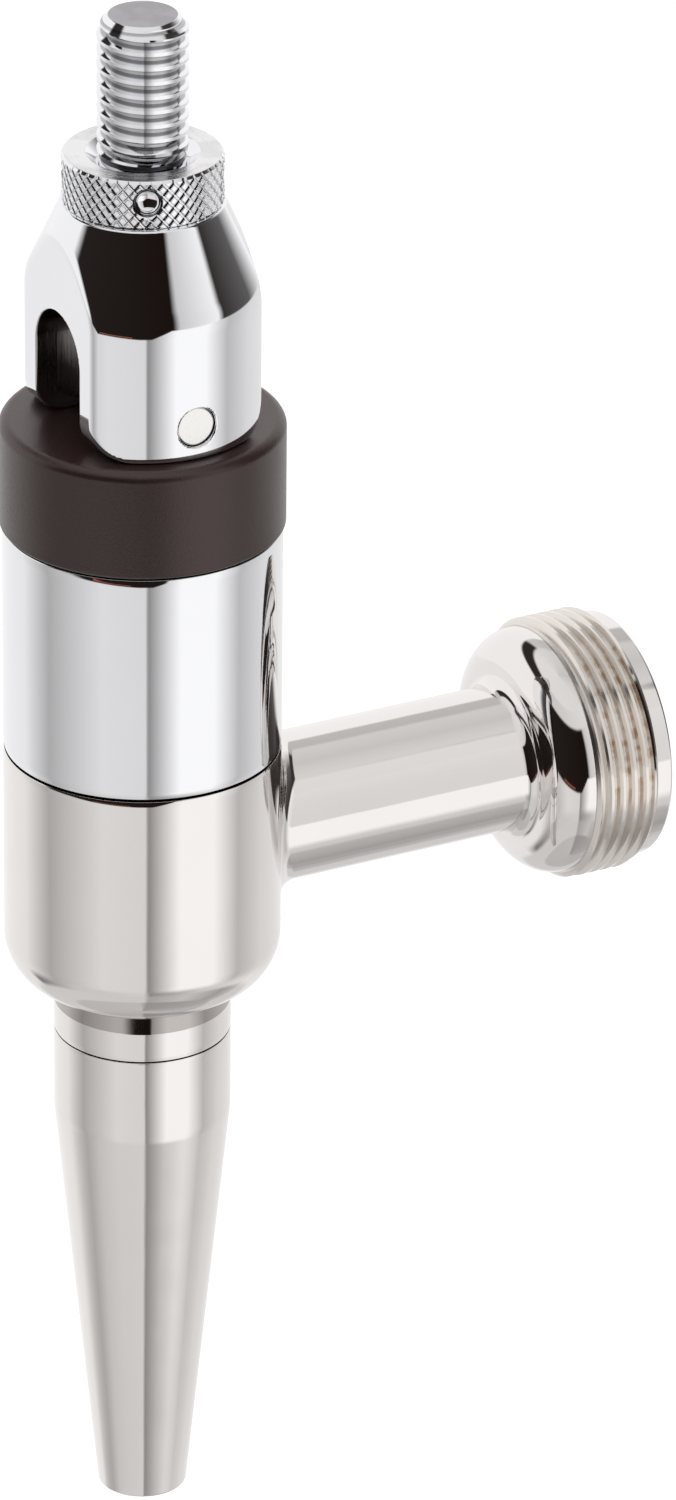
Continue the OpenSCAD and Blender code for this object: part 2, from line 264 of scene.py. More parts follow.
def smooth_runs(points):
    """Cuts an outline where it turns sharply. Each run comes with its outline normals."""
    steps = unit(np.diff(points, axis=0))
    turns = (steps[:-1] * steps[1:]).sum(1)
    cuts = [0] + [i + 1 for i, c in enumerate(turns) if c < math.cos(SHARP)] + [len(points) - 1]
    for start, end in zip(cuts[:-1], cuts[1:]):
        run = points[start : end + 1]
        tangent = unit(np.gradient(run, axis=0))
        tangent[0], tangent[-1] = steps[start], steps[end - 1]
        yield run, np.stack([tangent[:, 1], -tangent[:, 0]], axis=1)


def turned(skin, outline, angles, along="z"):
    """Turns an outline of (radius, height) round an axis. It runs up the outside of the piece, in
    over the top and down the inside, so that its normals, on its right, point out of the metal."""
    for run, normals in smooth_runs(np.asarray(outline, float)):
        skin.grid(round_axis(run, angles, along), round_axis(normals, angles, along))


def round_axis(run, angles, along):
    radius, height = run[:, :1], run[:, 1:]
    cos, sin = np.cos(angles)[None], np.sin(angles)[None]
    rise = np.broadcast_to(height, (len(run), len(angles)))
    if along == "z":
        return np.stack([radius * cos, radius * sin, rise], axis=2)
    if along == "y":
        return np.stack([radius * cos, rise, radius * sin], axis=2)
    return np.stack([rise, radius * cos, radius * sin], axis=2)


def full_turn(count):
    return np.linspace(0, 2 * math.pi, count + 1)


def thread(skin, radius, pitch, start, turns, columns, along, sunk=0.0):
    """A helical 60 degree thread with flat crests and roots, faded out by a chamfer at both ends.
    Returns its two end rings. The rows follow the helix, so no edge crosses a flank."""
    marks = np.array([0, CREST / 2, CREST, CREST + FLANK / 2, CREST + FLANK, 1 - FLANK, 1 - FLANK / 2])
    end = start + turns * pitch
    angles = full_turn(columns)
    lead = angles / (2 * math.pi)
    rows = (np.arange(int(turns) + 3)[:, None] + marks[None]).ravel()
    raw = start + pitch * (rows[:, None] - lead[None])
    height = np.clip(raw, start, end)
    phase = np.mod((height - start) / pitch + lead[None] + 1e-9, 1.0)
    down = np.minimum(phase - CREST, 1 - phase) / FLANK
    depth = THREAD_DEPTH * pitch * np.clip(down, 0, 1)
    near_end = np.minimum(height - start, end - height)
    ceiling = radius - THREAD_DEPTH * pitch + sunk + near_end
    field = np.minimum(radius - depth, ceiling)
    cos, sin = np.cos(angles)[None], np.sin(angles)[None]
    if along == "z":
        points = np.stack([field * cos, field * sin, height], axis=2)
    else:
        points = np.stack([field * cos, height, field * sin], axis=2)
    skin.strips(points, points[0] * ((1, 1, 0) if along == "z" else (1, 0, 1)))
    return points[0], points[-1]


def bridge(skin, first, second, outward):
    """Joins two rings of the same number of points with a flat band."""
    skin.strips(np.stack([first, second]), outward)


def finish_piece(piece, body, material, slot, *nodes):
    """Puts a finished piece on its body, with its material, in place of its CAD nodes."""
    piece.data.materials.clear()
    piece.data.materials.append(material)
    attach(piece, body)
    if nodes:
        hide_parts(*nodes)
    return piece


# ---------------------------------------------------------------- valve body


def hole_in_turned(radius, edge, edge_z, hole_r, ball, thetas):
    """Where a ball rolls in the corner between a turned side and a tube of radius hole_r along y.
    The side has this radius and curves in below edge_z with the radius edge. Returns the ball's
    centres and the angle and height parameter of its touch on the side."""
    reach_r = hole_r + ball
    x, z = reach_r * np.cos(thetas), reach_r * np.sin(thetas)
    drop = np.maximum(edge_z - z, 0.0)
    out = radius - edge + np.sqrt((edge + ball) ** 2 - drop**2)
    y = np.sqrt(out**2 - x**2)
    turn = np.arcsin(drop / (edge + ball)) if edge else np.zeros_like(drop)
    level = np.where(drop > 0, edge_z - edge * turn, z)
    return np.stack([x, y, z], axis=1), np.arctan2(x, y), level


def side_point(phi, level, radius, edge, edge_z):
    """A point and its normal on a turned side, at the angle phi from +y. Above edge_z the level
    is the height, and below it is measured along the curved edge."""
    turn = np.maximum(edge_z - level, 0.0) / edge if edge else np.zeros_like(level)
    r = radius - edge * (1 - np.cos(turn))
    z = np.maximum(level, edge_z) - edge * np.sin(turn)
    point = np.stack([r * np.sin(phi), r * np.cos(phi), z], axis=-1)
    tilt = np.cos(turn)
    normal = np.stack([tilt * np.sin(phi), tilt * np.cos(phi), -np.sin(turn)], axis=-1)
    return point, normal


def holed_patch(skin, side, phi_half, low, high, hole_phi, hole_level, inward=False):
    """Fills the block of a turned side round a hole, from the hole's rim out to the block's edges."""
    share = np.arange(PATCH) / PATCH
    rising = low + (high - low) * share
    across = phi_half * (2 * share - 1)
    edge_phi = np.concatenate([0 * share + phi_half, -across, 0 * share - phi_half, across])
    edge_level = np.concatenate([rising, 0 * share + high, high + low - rising, 0 * share + low])
    edge_phi, edge_level = (np.append(e, e[0]) for e in (edge_phi, edge_level))
    t = np.linspace(0, 1, 11)[:, None]
    phi = hole_phi * (1 - t) + edge_phi * t
    level = hole_level * (1 - t) + edge_level * t
    points, normals = side_point(phi, level, *side)
    skin.grid(points, -normals if inward else normals)


def make_valve_body():
    skin = Skin()
    thetas = full_turn(TUBE_COLUMNS) - math.pi / 4
    phi_half = math.radians(46)
    inner = np.linspace(-phi_half, phi_half, PATCH + 1)
    outer = np.linspace(phi_half, 2 * math.pi - phi_half, 148)
    everywhere = np.concatenate([inner, outer[1:]])
    edge_z = BODY_FOOT + BODY_EDGE

    def side_grid(levels, phis, side, inward=False):
        phi, level = np.meshgrid(phis, levels)
        points, normals = side_point(phi, level, *side)
        skin.grid(points, -normals if inward else normals)

    # Outside of the body, with a block left out round the tube
    side = (BODY_R, BODY_EDGE, edge_z)
    block_low, block_high = -12.6, 10.4
    block = np.linspace(block_low, block_high, PATCH + 1)
    seam_low = SEAM_Z - SEAM_GAP
    edge_end = edge_z - BODY_EDGE * math.acos((NECK_TOP_R + 0.25 - BODY_R + BODY_EDGE) / BODY_EDGE)
    side_grid(block, outer, side)
    side_grid(np.linspace(edge_end, block_low, 24), everywhere, side)

    # Rolling-ball fillet between body and tube
    centres, hole_phi, hole_level = hole_in_turned(*side, TUBE_R, FILLET, thetas)
    holed_patch(skin, side, phi_half, block_low, block_high, hole_phi, hole_level)
    on_side, _ = side_point(hole_phi, hole_level, *side)
    on_tube = centres * (TUBE_R / (TUBE_R + FILLET), 1, TUBE_R / (TUBE_R + FILLET))
    start, end = unit(on_side - centres), unit(on_tube - centres)
    turn = np.arccos((start * end).sum(1, keepdims=True))
    share = np.linspace(0, 1, 13)[:, None, None]
    away = (start * np.sin((1 - share) * turn) + end * np.sin(share * turn)) / np.sin(turn)
    skin.grid(centres + away * FILLET, -away)

    # Tube from the fillet to the shoulder
    radial = np.stack([np.cos(thetas), 0 * thetas, np.sin(thetas)], axis=1)
    shoulder_turns = 1.5, 4.2
    hollow_x, crown_x = TUBE_R + shoulder_turns[0], 13.5 - shoulder_turns[1]
    flange_start = REACH - RIM_LEN - FLANGE_TURNS * FLANGE_PITCH
    rise = math.sqrt(sum(shoulder_turns) ** 2 - (crown_x - hollow_x) ** 2)
    touch = math.atan2(rise, crown_x - hollow_x)
    hollow_y = flange_start - rise
    tube_start = 19.0
    first = np.stack([on_tube, radial * TUBE_R + (0, tube_start, 0)])
    skin.grid(first, np.stack([radial, radial]))

    def arc(x, y, r, start, end, count=20):
        a = np.linspace(start, end, count + 1)
        return np.stack([x + r * np.cos(a), y + r * np.sin(a)], axis=1)

    hollow = arc(hollow_x, hollow_y, shoulder_turns[0], math.pi, touch)
    crown = arc(crown_x, flange_start, shoulder_turns[1], touch - math.pi, 0)
    straight = [(TUBE_R, y) for y in np.linspace(tube_start, hollow_y, 12)[:-1]]
    shoulder = np.concatenate([straight, hollow, crown[1:]])
    turned(skin, shoulder, thetas, "y")

    # Thread and end face of the flange
    foot, head = thread(
        skin, FLANGE_R, FLANGE_PITCH, flange_start, FLANGE_TURNS, TUBE_COLUMNS, "y", sunk=0.05
    )
    roll = PATCH // 2
    foot, head = (np.roll(ring[:-1], roll, axis=0) for ring in (foot, head))
    foot, head = (np.concatenate([ring, ring[:1]]) for ring in (foot, head))
    bridge(skin, radial * 13.5 + (0, flange_start, 0), foot, (0, -1, 0))
    rim_start = REACH - RIM_LEN
    bridge(skin, head, radial * RIM_R + (0, rim_start, 0), (0, 1, 0))
    mouth, teeth_depth = 1.6, 3.6
    rim = [(RIM_R, rim_start), (RIM_R, REACH, 0.35), (10.5, REACH, 0.2), (10.5, REACH - mouth)]
    turned(skin, fillet(rim, 5), thetas, "y")

    # Toothed ring in the flange's socket
    step = math.radians(18)
    off = np.mod(thetas + step / 2, step) - step / 2
    notch_r, ring_r = 0.8, 9.3
    reach_in = np.maximum(notch_r**2 - (ring_r * np.sin(off)) ** 2, 0)
    wall = np.where(reach_in > 0, ring_r * np.cos(off) + np.sqrt(reach_in), ring_r)[:, None]
    high, low = (0, REACH - mouth, 0), (0, REACH - teeth_depth, 0)
    bridge(skin, radial * 10.5 + high, radial * wall + high, (0, 1, 0))
    skin.strips(np.stack([radial * wall + high, radial * wall + low]), -radial)
    bridge(skin, radial * wall + low, radial * TUBE_BORE_R + low, (0, 1, 0))

    # Bore of the tube into the chamber
    chamber = (CHAMBER_R, 0.0, SEAT_Z)
    rims, bore_phi, bore_level = hole_in_turned(*chamber, TUBE_BORE_R, 0.0, thetas)
    bore_start = radial * TUBE_BORE_R + (0, 12, 0)
    bore_rows = [rims, bore_start, radial * TUBE_BORE_R + (0, 30, 0), radial * TUBE_BORE_R + low]
    skin.grid(np.stack(bore_rows), -np.stack([radial] * 4))
    chamber_low, chamber_high = SEAT_Z + 1, 5.2
    holed_patch(
        skin, chamber, phi_half, chamber_low, chamber_high, bore_phi, bore_level, inward=True
    )
    side_grid(np.linspace(chamber_low, chamber_high, PATCH + 1), outer, chamber, inward=True)
    side_grid([SEAT_Z, chamber_low], everywhere, chamber, inward=True)

    # Everything else that is turned: neck, nipple, port, seat and the bonnet's plain socket
    nipple_r = 7.4
    neck = [
        (PORT_R, SEAT_Z, 0.3), (PORT_R, NIPPLE_END),
        (nipple_r - 0.4, NIPPLE_END), (nipple_r, NIPPLE_END + 0.4)]
    for groove in range(4):
        z = NIPPLE_END + 0.9 + groove
        neck += [(nipple_r, z), (nipple_r - 0.45, z + 0.4), (nipple_r, z + 0.8)]
    groove_z = SPOUT_TOP - 1.4
    neck += [
        (nipple_r, groove_z - 0.85), (nipple_r - 1.2, groove_z - 0.85),
        (nipple_r - 1.2, groove_z + 0.85), (nipple_r, groove_z + 0.85), (nipple_r, SPOUT_TOP),
        (NECK_R - 0.5, SPOUT_TOP), (NECK_R - 0.5, SPOUT_TOP + SEAM_GAP),
        (NECK_R - 0.04, SPOUT_TOP + SEAM_GAP, 0.05), (NECK_R, SPOUT_TOP + 0.7, 5.0)]
    angle_z = math.pi / 2 - everywhere
    edge_point, _ = side_point(np.zeros(1), np.array([edge_end]), *side)
    edge_r, edge_height = edge_point[0][1], edge_point[0][2]
    neck += [(NECK_R, NECK_EDGE_Z, 0.1), (NECK_TOP_R, edge_height - 0.1), (edge_r, edge_height)]
    turned(skin, fillet([(CHAMBER_R, SEAT_Z)] + neck), angle_z)
    top = [
        (BODY_R, block_high), (BODY_R, SEAM_Z - 0.6, 4.0), (BODY_R - EDGE_DROP, seam_low, 0.06),
        (BODY_R - 0.8, seam_low), (BODY_R - 0.8, SEAM_Z), (12.9, SEAM_Z), (12.9, 5.5),
        (CHAMBER_R, 5.5), (CHAMBER_R, chamber_high)]
    turned(skin, fillet(top), angle_z)
    return skin.build("valve_body_shell")


# ---------------------------------------------------------------- the other turned pieces


def closed(outline, steps=6):
    """A rounded outline that ends where it begins. Its first corner stays sharp."""
    return fillet(list(outline) + [outline[0][:2]], steps)


def make_bonnet():
    skin = Skin()
    plug_r, bore_r, bush_r, boss_r = 12.85, 7.5, 6.05, 8.0
    foot, groove = SEAM_Z - 5.8, 0.85
    ring_z = 7.2
    outline = [
        (bore_r, foot), (plug_r - 0.4, foot), (plug_r, foot + 0.4),
        (plug_r, ring_z - groove), (plug_r - 1.2, ring_z - groove),
        (plug_r - 1.2, ring_z + groove), (plug_r, ring_z + groove), (plug_r, SEAM_Z),
        (BODY_R - 0.8, SEAM_Z), (BODY_R - 0.8, SEAM_Z + SEAM_GAP),
        (BODY_R - EDGE_DROP, SEAM_Z + SEAM_GAP, 0.06), (BODY_R, SEAM_Z + 0.75, 6.0),
        (BODY_R, BONNET_TOP - 0.7, 6.0), (BODY_R - EDGE_DROP, BONNET_TOP, 0.1),
        (boss_r, BONNET_TOP, 0.2), (boss_r, BOSS_TOP, 0.3), (bush_r, BOSS_TOP, 0.2),
        (bush_r, 32.8), (bore_r, 32.8)]
    turned(skin, closed(outline), full_turn(LATHE))
    return skin.build("bonnet_shell")


def make_spout():
    skin = Skin()
    socket_r, ledge, vane_r, vane_end = 7.45, NIPPLE_END - 1.2, 6.35, NIPPLE_END - 13.4
    bore_r, bore_len = 3.9, 8.0
    taper_start = SPOUT_TOP - 9.4
    tip_r = 4.75
    outline = [
        (bore_r, SPOUT_TIP + 0.3), (bore_r + 0.25, SPOUT_TIP + 0.02),
        (tip_r, SPOUT_TIP, 0.28), (NECK_R, taper_start, 10.0),
        (NECK_R, SPOUT_TOP - 0.4, 4.0), (NECK_R - 0.025, SPOUT_TOP, 0.05),
        (socket_r, SPOUT_TOP, 0.15), (socket_r, ledge), (vane_r, ledge),
        (vane_r, vane_end), (vane_r - 1, vane_end), (bore_r, SPOUT_TIP + bore_len)]
    turned(skin, closed(outline), full_turn(LATHE))
    return skin.build("spout_shell")


def make_cap():
    skin = Skin()
    hole_r, boss_r = 4.8, 8.05
    foot = BONNET_TOP + 0.25
    outline = [
        (boss_r, foot), (CAP_R - SEAM_EDGE, foot, 0.08), (CAP_R, foot + SEAM_EDGE, 0.3),
        (CAP_R, CAP_TOP, 1.1), (hole_r, CAP_TOP, 0.4), (hole_r, BOSS_TOP), (boss_r, BOSS_TOP)]
    turned(skin, closed(outline, 10), full_turn(LATHE))
    return skin.build("cam_cap_moulding")


def make_pin():
    """A plain pin whose ends are chamfered and slightly crowned."""
    skin = Skin()
    crown = 0.06
    rise = [(PIN_R - 0.2, PIN_END - crown), (PIN_R * 0.5, PIN_END - crown / 4), (0, PIN_END)]
    head = [(PIN_R, PIN_END - 0.3), (PIN_R - 0.05, PIN_END - 0.16), (PIN_R - 0.2, PIN_END - crown)]
    half = head + rise[1:]
    tail = [(r, -x) for r, x in reversed(half)]
    turned(skin, tail + half, full_turn(64), "x")
    return skin.build("pivot_pin_turned", place=(0, 0, PIN_Z))


def make_stud():
    skin = Skin()
    columns = 160
    angles = full_turn(columns)
    seat_r, chamfer = 4.0, 0.36
    end = STUD_TOP - chamfer
    start = end - STUD_TURNS * STUD_PITCH
    root_r = STUD_R - THREAD_DEPTH * STUD_PITCH
    shank = [
        (0, STUD_FOOT), (seat_r - 0.4, STUD_FOOT), (seat_r, STUD_FOOT + 0.4),
        (seat_r, FORK_TOP), (RING_NECK_R, FORK_TOP), (RING_NECK_R, start), (root_r, start)]
    turned(skin, shank, angles)
    thread(skin, STUD_R, STUD_PITCH, start, STUD_TURNS, columns, "z")
    top = [(root_r, end), (root_r - chamfer, STUD_TOP, 0.15), (0, STUD_TOP)]
    turned(skin, fillet(top), angles)
    return skin.build("handle_stud_threaded")


def make_spring():
    """A round wire wound with closed end coils."""
    skin = Skin()
    turns, wire_r = 8.5, 0.6
    steps = int(turns * 48)
    turn = np.linspace(0, turns, steps + 1)
    low, high = SPRING_FOOT + wire_r, SPRING_HEAD - wire_r
    level = np.interp(turn, [0, 1, turns - 1, turns], [low, low + 1.3, high - 1.3, high])
    a = turn * 2 * math.pi
    mean_r = SPRING_R - wire_r
    spine = np.stack([mean_r * np.cos(a), mean_r * np.sin(a), level], axis=1)
    side = np.stack([np.cos(a), np.sin(a), 0 * a], axis=1)
    b = full_turn(16)[:, None, None]
    normals = side[None] * np.cos(b) + np.array([0, 0, 1.0]) * np.sin(b)
    skin.grid(spine[None] + normals * wire_r, normals)
    for tip, way in ((0, -1), (-1, 1)):
        ring = (spine[None] + normals * wire_r)[:, tip]
        centre = np.broadcast_to(spine[tip], ring.shape)
        ahead = np.array([-math.sin(a[tip]), math.cos(a[tip]), 0]) * way
        skin.grid(np.stack([ring, centre]), np.broadcast_to(ahead, (2, len(ring), 3)).copy())
    return skin.build("return_spring_coil")


# ---------------------------------------------------------------- lock ring with its knurl


def make_lock_ring():
    """A turned ring with cut diamonds between its chamfers and four spanner holes."""
    diamonds, fineness, depth = 44, 10, 0.15
    chamfer, sink = 0.28, 1.4
    bore_r = RING_NECK_R + 0.05
    columns = diamonds * fineness
    angles = full_turn(columns)
    foot = FORK_TOP + RING_LIFT
    low, high = foot + chamfer, RING_TOP - chamfer
    rows = 7 * fineness // 2
    i = np.arange(columns + 1)[None]
    j = np.arange(rows + 1)[:, None]
    cut = np.zeros((rows + 1, columns + 1))
    for line in (i + j, i - j):
        off = np.mod(line, fineness)
        off = np.minimum(off, fineness - off)
        cut = np.maximum(cut, depth * np.clip(1 - off / 1.7, 0, 1))
    level = low + (high - low) * j / rows + 0 * i
    points = np.stack(
        [(RING_R - cut) * np.cos(angles), (RING_R - cut) * np.sin(angles), level], axis=2)
    outline = [
        (RING_R, high), (RING_R - chamfer, RING_TOP, 0.1), (bore_r + sink, RING_TOP, 0.1),
        (bore_r, RING_TOP - sink), (bore_r, foot), (RING_R - chamfer, foot), (RING_R, low)]
    made = bmesh.new()

    def add_grid(grid, triangles=False):
        corners = [[made.verts.new((p + AXIS) * MM) for p in row] for row in grid]
        for r in range(len(grid) - 1):
            for c in range(len(grid[0]) - 1):
                a, b = corners[r][c], corners[r][c + 1]
                d, e = corners[r + 1][c], corners[r + 1][c + 1]
                if not triangles:
                    made.faces.new((a, b, e, d))
                elif cut[r, c] + cut[r + 1, c + 1] > cut[r, c + 1] + cut[r + 1, c]:
                    made.faces.new((a, b, e))
                    made.faces.new((a, e, d))
                else:
                    made.faces.new((a, b, d))
                    made.faces.new((b, e, d))

    add_grid(points, triangles=True)
    edge_high, edge_low = points[-1].copy(), points[0].copy()
    turned_rows = round_axis(fillet(outline, 4), angles, "z")
    turned_rows[0], turned_rows[-1] = edge_high, edge_low
    add_grid(turned_rows)
    bmesh.ops.remove_doubles(made, verts=made.verts, dist=WELD_DISTANCE)
    bmesh.ops.recalc_face_normals(made, faces=made.faces)
    piece = link("lock_ring_knurled", to_mesh(made, "lock_ring_knurled"))
    for number in range(4):
        drill_hole(piece, math.radians(RING_HOLE_TURN + 90 * number))
    mark_sharp(piece)
    return piece


def drill_hole(piece, turn):
    """Cuts a countersunk, round-ended spanner hole into the lock ring by a turned cutter."""
    skin = Skin()
    wall, sink, r = 0.5, 0.2, RING_HOLE_R + 0.05
    quarter = np.linspace(0, math.pi / 2, 10)
    ball = list(zip(r * np.sin(quarter), -wall - 0.75 * r * np.cos(quarter)))
    turned(skin, ball + [(r, -sink), (r + sink + 0.5, 0.5), (0, 0.5)], full_turn(48), "x")
    drill = skin.build("drill")
    at = Vector((RING_R * math.cos(turn), RING_R * math.sin(turn), RING_HOLE_Z)) * MM
    at += Vector(AXIS) * MM
    drill.data.transform(Matrix.Translation(-Vector(AXIS) * MM))
    drill.data.transform(Matrix.Translation(at) @ Matrix.Rotation(turn, 4, "Z"))
    cut = piece.modifiers.new("spanner hole", "BOOLEAN")
    cut.object, cut.operation, cut.solver = drill, "DIFFERENCE", "EXACT"
    apply_modifiers(piece)
    bpy.data.objects.remove(drill)


def to_mesh(made, name):
    mesh = bpy.data.meshes.new(name)
    made.to_mesh(mesh)
    made.free()
    return mesh


def apply_modifiers(piece):
    """Replaces the piece's mesh by its evaluated one."""
    graph = bpy.context.evaluated_depsgraph_get()
    mesh = bpy.data.meshes.new_from_object(piece.evaluated_get(graph))
    piece.modifiers.clear()
    piece.data = mesh


def mark_sharp(piece):
    """Smooth shading inside surfaces, and sharp edges where two of them meet."""
    made = bmesh.new()
    made.from_mesh(piece.data)
    for face in made.faces:
        face.smooth = True
    for edge in made.edges:
        edge.smooth = len(edge.link_faces) == 2 and edge.calc_face_angle(4) < math.radians(24)
    made.to_mesh(piece.data)
    made.free()


# ---------------------------------------------------------------- lever fork as a rounded solid


def round_max(a, b, radius):
    """The common part of two solids, with the edge between them rounded."""
    corner = np.hypot(np.maximum(a + radius, 0), np.maximum(b + radius, 0))
    return np.minimum(np.maximum(a, b), -radius) + corner


def fork_distance(p):
    """Signed distance from the fork's surface, negative inside the metal."""
    x, y, z = p[..., 0], p[..., 1], p[..., 2]
    radius = np.hypot(x, y)
    arc_end_r = FORK_R - CONE_ARC_R * (1 - math.cos(CONE))
    arc_z = FORK_TOP - (arc_end_r - FORK_TOP_R) / math.tan(CONE) - CONE_ARC_R * math.sin(CONE)
    out, up = radius - (FORK_R - CONE_ARC_R), z - arc_z
    turn = np.arctan2(up, out)
    cone = (radius - FORK_TOP_R) * math.cos(CONE) + (z - FORK_TOP) * math.sin(CONE)
    turned_side = np.where(turn > CONE, cone, np.hypot(out, up) - CONE_ARC_R)
    turned_side = np.where(turn < 0, radius - FORK_R, turned_side)
    outside = round_max(turned_side, z - FORK_TOP, 0.25)

    deep, low = np.abs(y) - (FORK_HALF - CAM_R), CAP_TOP + CAM_R - z
    cams = round_max(deep - CAM_R, low - CAM_R, CAM_R)
    outside = round_max(outside, cams, 0.45)

    slot_top = PIN_Z + SLOT_RISE
    arch = np.hypot(x, np.maximum(z - slot_top, 0)) - SLOT_HALF
    solid = round_max(outside, -arch, 0.22)
    pin_bore = np.hypot(y, z - PIN_Z) - (PIN_R + 0.05)
    solid = round_max(solid, -pin_bore, 0.12)
    seat = np.maximum(radius - 4.05, (FORK_TOP - 6.0) - z)
    return round_max(solid, -seat, 0.12)


def slope(distance, p, step=0.01):
    """Gradient of a distance function."""
    parts = []
    for k in range(3):
        shift = np.zeros(3)
        shift[k] = step
        parts.append((distance(p + shift) - distance(p - shift)) / (2 * step))
    return np.stack(parts, axis=-1)


def surface_net(value):
    """A point in each cell that the surface crosses, in grid steps, and a quad round each crossed edge."""
    cells = tuple(n - 1 for n in value.shape)
    total, hits, quads = np.zeros(cells + (3,)), np.zeros(cells), []
    for k in range(3):
        u, v = (m for m in range(3) if m != k)
        a = np.take(value, range(cells[k]), axis=k)
        b = np.take(value, range(1, cells[k] + 1), axis=k)
        crossed = (a < 0) != (b < 0)
        share = np.where(crossed, a / np.where(crossed, a - b, 1.0), 0)
        for du, dv in ((0, 0), (1, 0), (0, 1), (1, 1)):
            pick = [slice(None)] * 3
            pick[u], pick[v] = slice(du, du + cells[u]), slice(dv, dv + cells[v])
            hit = crossed[tuple(pick)]
            total[..., k] += share[tuple(pick)]
            total[..., u] += du * hit
            total[..., v] += dv * hit
            hits += hit
        at = np.argwhere(crossed)
        around = []
        for du, dv in ((-1, -1), (0, -1), (0, 0), (-1, 0)):
            cell = at.copy()
            cell[:, u] += du
            cell[:, v] += dv
            around.append(np.ravel_multi_index(cell.T, cells))
        quads.append(np.stack(around, axis=1))
    used, quads = np.unique(np.concatenate(quads), return_inverse=True)
    index = np.stack(np.unravel_index(used, cells), axis=1)
    middle = total.reshape(-1, 3)[used] / hits.ravel()[used][:, None]
    return index + middle, quads.reshape(-1, 4)


def solid_from_distance(name, distance, low, high, cell):
    """Meshes the surface of a distance function, then moves every point exactly onto it."""
    counts = np.ceil((high - low) / cell).astype(int) + 1
    ticks = [low[k] + cell * np.arange(counts[k]) for k in range(3)]
    steps, quads = surface_net(distance(np.stack(np.meshgrid(*ticks, indexing="ij"), axis=-1)))
    points = low + cell * steps
    for _ in range(8):
        away = slope(distance, points)
        length = np.maximum((away**2).sum(1), 0.2)
        move = distance(points) / length
        points -= away * np.clip(move, -cell / 2, cell / 2)[:, None]
    skin = Skin()
    skin.add(points[quads], unit(slope(distance, points))[quads])
    return skin.build(name)


def make_fork():
    low, high = span("lever_fork")
    margin = 0.6
    return solid_from_distance("lever_fork_forged", fork_distance, low - margin, high + margin, 0.22)


# ---------------------------------------------------------------- materials


def add_node(tree, kind, inputs=None, **settings):
    """Adds a shader node. An input given as a socket is linked, and anything else is its value."""
    made = tree.nodes.new("ShaderNode" + kind)
    for name, value in settings.items():
        setattr(made, name, value)
    for name, value in (inputs or {}).items():
        if isinstance(value, bpy.types.NodeSocket):
            tree.links.new(value, made.inputs[name])
        else:
            made.inputs[name].default_value = value
    return made


def new_material(name):
    made = bpy.data.materials.new(name)
    made.use_nodes = True
    tree = made.node_tree
    return made, tree, tree.nodes["Principled BSDF"]


def place(tree, scale=(1, 1, 1)):
    """Object coordinates, stretched."""
    where = add_node(tree, "TexCoord").outputs["Object"]
    return add_node(tree, "Mapping", {"Vector": where, "Scale": scale}).outputs[0]


def noise(tree, where, scale, detail=2.0):
    inputs = {"Vector": where, "Scale": scale, "Detail": detail}
    return add_node(tree, "TexNoise", inputs).outputs["Fac"]


def blend_value(tree, factor, low, high, start=0.3, end=0.7):
    """Maps factor from start..end to low..high."""
    inputs = {"Value": factor, "From Min": start, "From Max": end, "To Min": low, "To Max": high}
    return add_node(tree, "MapRange", inputs).outputs[0]


def blend_colour(tree, factor, low, high):
    made = add_node(tree, "Mix", data_type="RGBA")
    tree.links.new(factor, made.inputs[0])
    for socket, value in ((made.inputs[6], low), (made.inputs[7], high)):
        if isinstance(value, bpy.types.NodeSocket):
            tree.links.new(value, socket)
        else:
            socket.default_value = (*value, 1)
    return made.outputs[2]


def math_node(tree, operation, *values, **settings):
    made = tree.nodes.new("ShaderNodeMath")
    made.operation = operation
    for name, value in settings.items():
        setattr(made, name, value)
    for socket, value in zip(made.inputs, values):
        if isinstance(value, bpy.types.NodeSocket):
            tree.links.new(value, socket)
        else:
            socket.default_value = value
    return made.outputs[0]


def bump(tree, height, distance, strength=1.0, under=None):
    inputs = {"Height": height, "Distance": distance, "Strength": strength}
    if under is not None:
        inputs["Normal"] = under
    return add_node(tree, "Bump", inputs).outputs[0]


def polished(name, colour, rough, waves, grain):
    """Polished metal: slow waves from hand polishing and a faint grain of fine marks."""
    made, tree, surface = new_material(name)
    where = place(tree)
    slow = noise(tree, where, 160, 1.0)
    fine = noise(tree, place(tree, (1, 1, 0.12)), 9000, 2.0)
    tint = noise(tree, where, 90, 3.0)
    shade = [c * 0.96 for c in colour]
    surface.inputs["Metallic"].default_value = 1.0
    tree.links.new(blend_colour(tree, tint, shade, colour), surface.inputs["Base Color"])
    roughness = blend_value(tree, fine, rough * 0.8, rough * 1.25)
    tree.links.new(roughness, surface.inputs["Roughness"])
    normal = bump(tree, slow, waves)
    tree.links.new(bump(tree, fine, grain, under=normal), surface.inputs["Normal"])
    return made, tree, surface


def overlay(tree, surface, name, mask, value):
    """Blends a value over whatever feeds an input, where the mask is 1."""
    before = surface.inputs[name].links[0].from_socket
    if isinstance(value, tuple):
        mixed = blend_colour(tree, mask, before, value)
    else:
        made = add_node(tree, "Mix", data_type="FLOAT")
        for socket, given in zip((made.inputs[0], made.inputs[2]), (mask, before)):
            tree.links.new(given, socket)
        made.inputs[3].default_value = value
        mixed = made.outputs[0]
    tree.links.new(mixed, surface.inputs[name])


def part_millimetres(tree):
    """x, y and z in millimetres from the valve axis."""
    split = add_node(tree, "SeparateXYZ", {"Vector": add_node(tree, "TexCoord").outputs["Object"]})
    return [
        math_node(tree, "SUBTRACT", math_node(tree, "DIVIDE", socket, MM), float(centre))
        for socket, centre in zip(split.outputs, AXIS)]


def hypot(tree, a, b):
    squares = math_node(tree, "ADD", math_node(tree, "MULTIPLY", a, a), math_node(tree, "MULTIPLY", b, b))
    return math_node(tree, "SQRT", squares)


